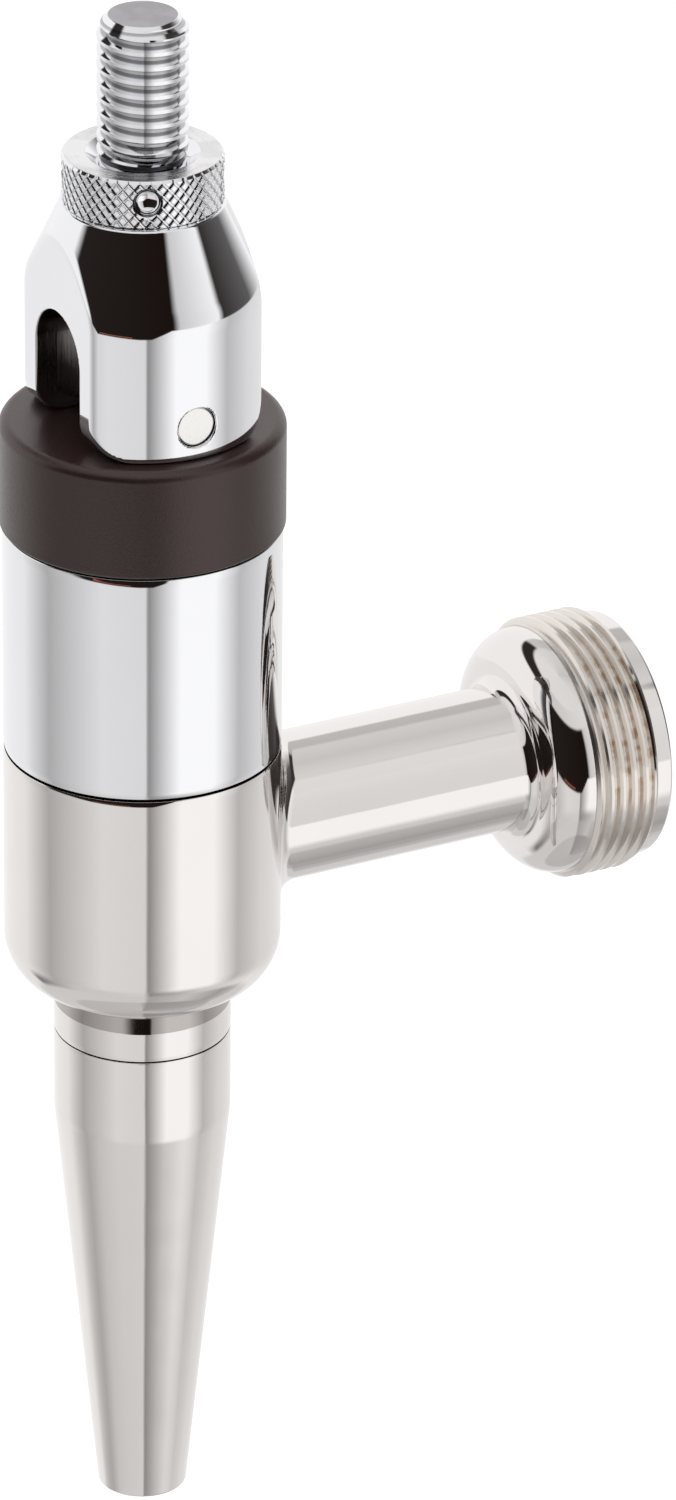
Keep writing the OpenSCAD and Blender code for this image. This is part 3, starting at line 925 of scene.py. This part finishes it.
def within(tree, value, low, high):
    """1 between low and high, otherwise 0."""
    over = math_node(tree, "GREATER_THAN", value, low)
    return math_node(tree, "MULTIPLY", over, math_node(tree, "LESS_THAN", value, high))


def both(tree, *masks):
    product = masks[0]
    for mask in masks[1:]:
        product = math_node(tree, "MULTIPLY", product, mask)
    return product


def paint_seam_shade_and_grime(tree, surface):
    """Painted shade and grime in the grooves between bonnet and body, and between neck and spout: a dark
    brown colour stands in for the shade and dark reflection in the gaps, with some grime.
    """
    x, y, z = part_millimetres(tree)
    radius = hypot(tree, x, y)
    for seam, edge_r in ((SEAM_Z, BODY_R), (SPOUT_TOP, NECK_R)):
        near_seam = within(tree, z, seam - 0.3, seam + 0.3)
        mask = both(tree, near_seam, within(tree, radius, edge_r - 0.85, edge_r - 0.09))
        # painted shade: dark brown in the seam gaps stands for the shade and dark reflection there, with
        # some grime
        overlay(tree, surface, "Base Color", mask, (0.05, 0.032, 0.025))
        overlay(tree, surface, "Roughness", mask, 0.6)


def make_chrome():
    made, tree, surface = polished("chrome", (0.90, 0.905, 0.925), 0.035, 0.000006, 0.0000002)
    paint_seam_shade_and_grime(tree, surface)
    return made


def make_fork_chrome():
    """Chrome with the upright marks of the cutter inside the slot, where a darker grey is painted shade."""
    made, tree, surface = polished("fork_chrome", (0.90, 0.905, 0.925), 0.035, 0.000006, 0.0000002)
    x, _, z = part_millimetres(tree)
    over = math_node(tree, "MAXIMUM", math_node(tree, "SUBTRACT", z, PIN_Z + SLOT_RISE), 0.0)
    inside = within(tree, hypot(tree, x, over), -1.0, SLOT_HALF + 0.12)
    marks = noise(tree, place(tree, (0.02, 1, 0.015)), 4000, 2.0)
    before = surface.inputs["Normal"].links[0].from_socket
    height = both(tree, marks, inside)
    tree.links.new(bump(tree, height, 0.00003, under=before), surface.inputs["Normal"])
    overlay(tree, surface, "Roughness", inside, 0.16)
    # painted shade: a darker grey inside the slot stands for the shade and dark reflection between the
    # fork's cheeks
    overlay(tree, surface, "Base Color", inside, (0.42, 0.40, 0.39))
    return made


def make_turned_chrome(name, face, rough, depth):
    """Chrome whose level faces keep the fine rings of the lathe and shine less."""
    made, tree, surface = polished(name, (0.90, 0.905, 0.925), 0.05, 0.000004, 0.0000002)
    x, y, _ = part_millimetres(tree)
    rings = add_node(tree, "CombineXYZ", {"X": hypot(tree, x, y)})
    lines = noise(tree, rings.outputs[0], 3.2, 4.0)
    patches = noise(tree, place(tree), 300, 2.0)
    normal = add_node(tree, "SeparateXYZ", {"Vector": add_node(tree, "TexCoord").outputs["Normal"]})
    level = within(tree, normal.outputs[2], 0.95, 1.1)
    overlay(tree, surface, "Base Color", level, face)
    tone = both(tree, level, blend_value(tree, patches, 0.0, 0.6, 0.45, 0.6))
    overlay(tree, surface, "Base Color", tone, tuple(0.8 * c for c in face))
    overlay(tree, surface, "Roughness", level, rough)
    before = surface.inputs["Normal"].links[0].from_socket
    height = both(tree, lines, level)
    tree.links.new(bump(tree, height, depth, under=before), surface.inputs["Normal"])
    return made


def darken_thread(made):
    """The roots of the stud's thread, where little light gets in."""
    tree = made.node_tree
    surface = tree.nodes["Principled BSDF"]
    x, y, z = part_millimetres(tree)
    root_r = STUD_R - THREAD_DEPTH
    below_top = math_node(tree, "LESS_THAN", z, STUD_TOP - 0.5)
    depth = blend_value(tree, hypot(tree, x, y), 1.0, 0.0, root_r + 0.02, root_r + 0.17)
    overlay(tree, surface, "Base Color", both(tree, depth, below_top), (0.46, 0.46, 0.47))


def make_stainless():
    """Polished casting: painted shade and grime in the seams, painted shade on the neck under the body,
    brown stain in the flange's thread.
    """
    made, tree, surface = polished("stainless", (0.87, 0.84, 0.825), 0.045, 0.00002, 0.0000004)
    paint_seam_shade_and_grime(tree, surface)
    x, y, z = part_millimetres(tree)
    radius = hypot(tree, x, z)
    start = REACH - RIM_LEN - FLANGE_TURNS * FLANGE_PITCH
    along = within(tree, y, start - 0.05, REACH - RIM_LEN + 0.05)
    under_body = within(tree, z, NECK_EDGE_Z + 0.05, BODY_FOOT - 0.1)
    on_draft = within(tree, hypot(tree, x, y), NECK_TOP_R - 0.1, NECK_R - 0.004)
    painted_neck_shade = both(tree, under_body, on_draft)
    # painted shade: a darker grey band on the neck's draft under the body stands for its shade and dark
    # reflection
    overlay(tree, surface, "Base Color", painted_neck_shade, (0.50, 0.47, 0.45))
    middle = within(tree, y, start + 1.9, REACH - RIM_LEN - 0.6)
    right_side = blend_value(tree, x, 0.0, 1.0, 1.0, 5.0)
    upper_side = blend_value(tree, z, 0.0, 1.0, -4.0, 2.0)
    threaded = both(tree, along, within(tree, radius, FLANGE_R - 0.9, FLANGE_R + 0.1))
    overlay(tree, surface, "Roughness", threaded, 0.12)
    overlay(tree, surface, "Base Color", threaded, (0.80, 0.755, 0.71))
    root = both(tree, along, within(tree, radius, FLANGE_R - 0.9, FLANGE_R - 0.36))
    patches = blend_value(tree, noise(tree, place(tree), 700, 4.0), 0.12, 0.9, 0.48, 0.62)
    stain = both(tree, root, middle, right_side, upper_side, patches)
    overlay(tree, surface, "Base Color", stain, (0.55, 0.42, 0.31))
    overlay(tree, surface, "Roughness", root, 0.28)
    return made


def make_plain(name, colour, rough, metallic=0.0, grain=2500, depth=0.00002):
    """A plain moulded or machined surface with a fine grain."""
    made, tree, surface = new_material(name)
    spots = noise(tree, place(tree), grain, 3.0)
    lighter = [min(1.0, c * 1.15 + 0.004) for c in colour]
    tree.links.new(blend_colour(tree, spots, colour, lighter), surface.inputs["Base Color"])
    tree.links.new(blend_value(tree, spots, rough * 0.85, rough * 1.15), surface.inputs["Roughness"])
    surface.inputs["Metallic"].default_value = metallic
    tree.links.new(bump(tree, spots, depth), surface.inputs["Normal"])
    return made


# ---------------------------------------------------------------- the whole faucet


def dress():
    chrome, stainless = make_chrome(), make_stainless()
    steel = make_plain("turned_steel", (0.62, 0.61, 0.60), 0.28, 1.0, 6000, 0.000004)
    pin_steel = make_plain("pin_steel", (0.86, 0.85, 0.83), 0.30, 1.0, 5000, 0.000004)
    plastic = make_plain("black_plastic", (0.021, 0.0095, 0.0088), 0.33, 0.0, 5000, 0.000025)
    plastic.node_tree.nodes["Principled BSDF"].inputs["Specular IOR Level"].default_value = 0.75
    tint = plastic.node_tree.nodes["Principled BSDF"].inputs["Specular Tint"]
    tint.default_value = (1.0, 0.84, 0.82, 1)
    fork_chrome = make_fork_chrome()
    stud_chrome = make_turned_chrome("stud_chrome", (0.42, 0.40, 0.43), 0.3, 0.000002)
    darken_thread(stud_chrome)
    ring_chrome = make_turned_chrome("ring_chrome", (0.84, 0.83, 0.84), 0.12, 0.00012)
    rubber = make_plain("black_rubber", (0.018, 0.018, 0.018), 0.62)
    acetal = make_plain("white_plastic", (0.78, 0.77, 0.73), 0.40)
    wire = make_plain("spring_wire", (0.55, 0.56, 0.58), 0.22, 1.0, 6000, 0.000003)

    finish_piece(make_valve_body(), "faucet", stainless, "stainless", "valve_body")
    finish_piece(make_spout(), "faucet", stainless, "stainless", "spout")
    finish_piece(make_bonnet(), "faucet", chrome, "chrome", "bonnet")
    finish_piece(make_cap(), "faucet", plastic, "black_plastic", "cam_cap")
    finish_piece(make_fork(), "lever", fork_chrome, "chrome", "lever_fork")
    finish_piece(make_pin(), "lever", pin_steel, "pin_steel", "pivot_pin")
    finish_piece(make_stud(), "lever", stud_chrome, "chrome", "handle_stud")
    finish_piece(make_lock_ring(), "ring", ring_chrome, "knurled_chrome", "lock_ring")
    spring = finish_piece(make_spring(), "faucet", wire, "spring_steel", "return_spring")
    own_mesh(spring)

    looks = {
        "black_rubber": rubber, "white_plastic": acetal, "inner_steel": steel}
    slots = {part["node"]: part["material_slot"] for part in frame["record"]["subparts"]}
    for name, piece in frame["nodes"].items():
        if slots[name] in looks:
            piece.data.materials.clear()
            piece.data.materials.append(looks[slots[name]])


# ---------------------------------------------------------------- studio

# Where the camera stands, in degrees and millimetres round a point near the faucet's middle
CAMERA_TURN, CAMERA_RISE, CAMERA_ROLL = 62.27, 26.06, 0.54
CAMERA_DISTANCE, CAMERA_LENS, CAMERA_SENSOR = 1133.59, 255.0, 36.0
CAMERA_TARGET = (0.0, 20.0, 0.0)
CAMERA_SHIFT = (2.92, 5.27)


def make_camera():
    turn, rise, roll = (math.radians(a) for a in (CAMERA_TURN, CAMERA_RISE, CAMERA_ROLL))
    back = Vector((math.sin(turn) * math.cos(rise), -math.cos(turn) * math.cos(rise), math.sin(rise)))
    right = Vector((math.cos(turn), math.sin(turn), 0))
    up = back.cross(right)
    across, climb = CAMERA_SHIFT
    spot = Vector(CAMERA_TARGET) + right * across + up * climb + back * CAMERA_DISTANCE
    rolled_right = right * math.cos(roll) + up * math.sin(roll)
    rolled_up = up * math.cos(roll) - right * math.sin(roll)
    data = bpy.data.cameras.new("camera")
    data.lens, data.sensor_width, data.sensor_fit = CAMERA_LENS, CAMERA_SENSOR, "AUTO"
    data.clip_start, data.clip_end = 0.1, 20.0
    camera = link("camera", data)
    turned_by = Matrix((rolled_right, rolled_up, back)).transposed()
    camera.matrix_world = Matrix.Translation((spot + Vector(AXIS)) * MM) @ turned_by.to_4x4()
    bpy.context.scene.camera = camera


def grey(level):
    """Linear value of a grey that shows as this level from 0 to 255, over the metal's reflectance."""
    shown = level / 255
    return (shown / 12.92 if shown < 0.04 else ((shown + 0.055) / 1.055) ** 2.4) / 0.9


# Light round the faucet: grey level by azimuth in degrees, where 0 is -y and 90 is +x
# Rings of light round the faucet: azimuth in degrees, grey level from 0 to 255
STRAIGHT_DOWN = ((-180, 180), (60, 190), (70, 150), (180, 170))
FLOOR_RING = ((-180, 205), (65, 205), (70, 165), (110, 195), (155, 160), (180, 190))
FOOT_RING = ((-180, 230), (-60, 230), (-50, 120), (0, 200), (65, 210), (70, 140), (120, 205), (180, 225))
LOW_RING = (
    (-180, 215), (-100, 240), (-50, 230), (-20, 170), (30, 220), (66, 215), (68, 135), (95, 250),
    (125, 250), (150, 185), (180, 215))
LEVEL_RING = (
    (-180, 90), (-150, 245), (-25, 240), (-15, 30), (92, 15), (98, 200), (137, 240), (143, 45), (180, 90))
HIGH_RING = (
    (-180, 50), (-160, 50), (-150, 180), (-95, 200), (-88, 40), (-22, 40), (-14, 200), (135, 225),
    (142, 50), (180, 50))
CEILING_RING = ((-180, 200), (-60, 225), (120, 220), (180, 200))
# Height in degrees at which the level ring starts: it hangs lowest in front of the camera
LEVEL_START = ((-180, -10), (5, -14), (60, -21), (72, -21), (90, -8), (180, -10))


def soft_step(tree, value, start, width):
    """0 below start, 1 above start + width."""
    end = math_node(tree, "ADD", start, width)
    inputs = {"Value": value, "From Min": start, "From Max": end}
    return add_node(tree, "MapRange", inputs, interpolation_type="SMOOTHSTEP").outputs[0]


def ring_of(tree, turn, stops, shade):
    """A value by azimuth, which turn gives as 0 to 1."""
    ramp = add_node(tree, "ValToRGB", {"Fac": turn})
    marks = ramp.color_ramp.elements
    for azimuth, _ in stops[1:-1]:
        marks.new((azimuth + 180) / 360)
    for mark, (_, value) in zip(marks, stops):
        mark.color = (shade(value),) * 3 + (1,)
    return ramp.outputs[0]


def make_world():
    """Soft panels all round, a dark gap behind the camera, and a pale backdrop."""
    world = bpy.data.worlds.new("studio")
    bpy.context.scene.world = world
    world.use_nodes = True
    tree = world.node_tree
    tree.nodes.clear()
    split = add_node(tree, "SeparateXYZ", {"Vector": add_node(tree, "TexCoord").outputs["Generated"]})
    x, y, z = split.outputs
    azimuth = math_node(tree, "ARCTAN2", x, math_node(tree, "MULTIPLY", y, -1.0))
    turn = math_node(tree, "ADD", math_node(tree, "DIVIDE", azimuth, 2 * math.pi), 0.5)
    rise = math_node(tree, "MULTIPLY", math_node(tree, "ARCSINE", z), 180 / math.pi)
    start = ring_of(tree, turn, LEVEL_START, lambda degrees: degrees / 90 + 0.5)
    start = math_node(tree, "MULTIPLY", math_node(tree, "SUBTRACT", start, 0.5), 90.0)
    light = ring_of(tree, turn, STRAIGHT_DOWN, grey)
    steps = (
        (FLOOR_RING, -65.0, 3.0), (FOOT_RING, -50.0, 6.0), (LOW_RING, -43.0, 10.0),
        (LEVEL_RING, start, 2.5), (HIGH_RING, 35.0, 4.0), (CEILING_RING, 51.0, 5.0))
    for ring, height, soft in steps:
        above = soft_step(tree, rise, height, soft)
        light = blend_colour(tree, above, light, ring_of(tree, turn, ring, grey))
    degrees = math_node(tree, "MULTIPLY", azimuth, 180 / math.pi)
    over = math_node(tree, "SUBTRACT", rise, start)
    streak = both(tree, within(tree, degrees, 24.0, 54.0), within(tree, over, 3.2, 4.6))
    light = blend_colour(tree, streak, light, (0.30, 0.085, 0.055))
    warm = add_node(tree, "Mix", data_type="RGBA", blend_type="ADD")
    warm.inputs[0].default_value = 1.0
    tree.links.new(light, warm.inputs[6])
    warm.inputs[7].default_value = (0.006, 0.0015, 0.0, 1)

    camera_ray = add_node(tree, "LightPath").outputs["Is Camera Ray"]
    seen = blend_colour(tree, camera_ray, warm.outputs[2], (0.93, 0.93, 0.93))
    background = add_node(tree, "Background", {"Color": seen, "Strength": 1.0})
    output = tree.nodes.new("ShaderNodeOutputWorld")
    tree.links.new(background.outputs[0], output.inputs["Surface"])


def make_floor():
    """A plain pale floor well below the faucet, which hangs free in the air."""
    half, drop = 3.0, 0.30
    made = bmesh.new()
    level = SPOUT_TIP * MM - drop
    corners = [made.verts.new((x * half, y * half, level)) for x, y in ((-1, -1), (1, -1), (1, 1), (-1, 1))]
    made.faces.new(corners)
    floor = link("floor", to_mesh(made, "floor"))
    material, tree, surface = new_material("floor")
    cloud = noise(tree, place(tree), 3.0, 2.0)
    tree.links.new(blend_colour(tree, cloud, (0.93,) * 3, (0.95,) * 3), surface.inputs["Base Color"])
    surface.inputs["Roughness"].default_value = 0.9
    surface.inputs["Emission Color"].default_value = (1, 1, 1, 1)
    surface.inputs["Emission Strength"].default_value = 0.30
    floor.data.materials.append(material)
    floor.visible_glossy = False
    floor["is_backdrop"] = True


def make_lamp():
    """One large soft lamp overhead, for the floor and the matte pieces only."""
    data = bpy.data.lights.new("soft_lamp", "AREA")
    data.shape, data.size, data.energy = "DISK", 1.6, 14.0
    lamp = link("soft_lamp", data)
    lamp.location = (0.0, 0.0, 1.5)
    lamp.visible_glossy = False


dress()
make_camera()
make_world()
make_floor()
make_lamp()
bpy.context.scene.view_settings.view_transform = "Standard"

visual_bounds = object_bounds()
sizes = {"cad": cad_bounds, "visual": visual_bounds}
{k: [list(c) for c in v] for k, v in sizes.items()}
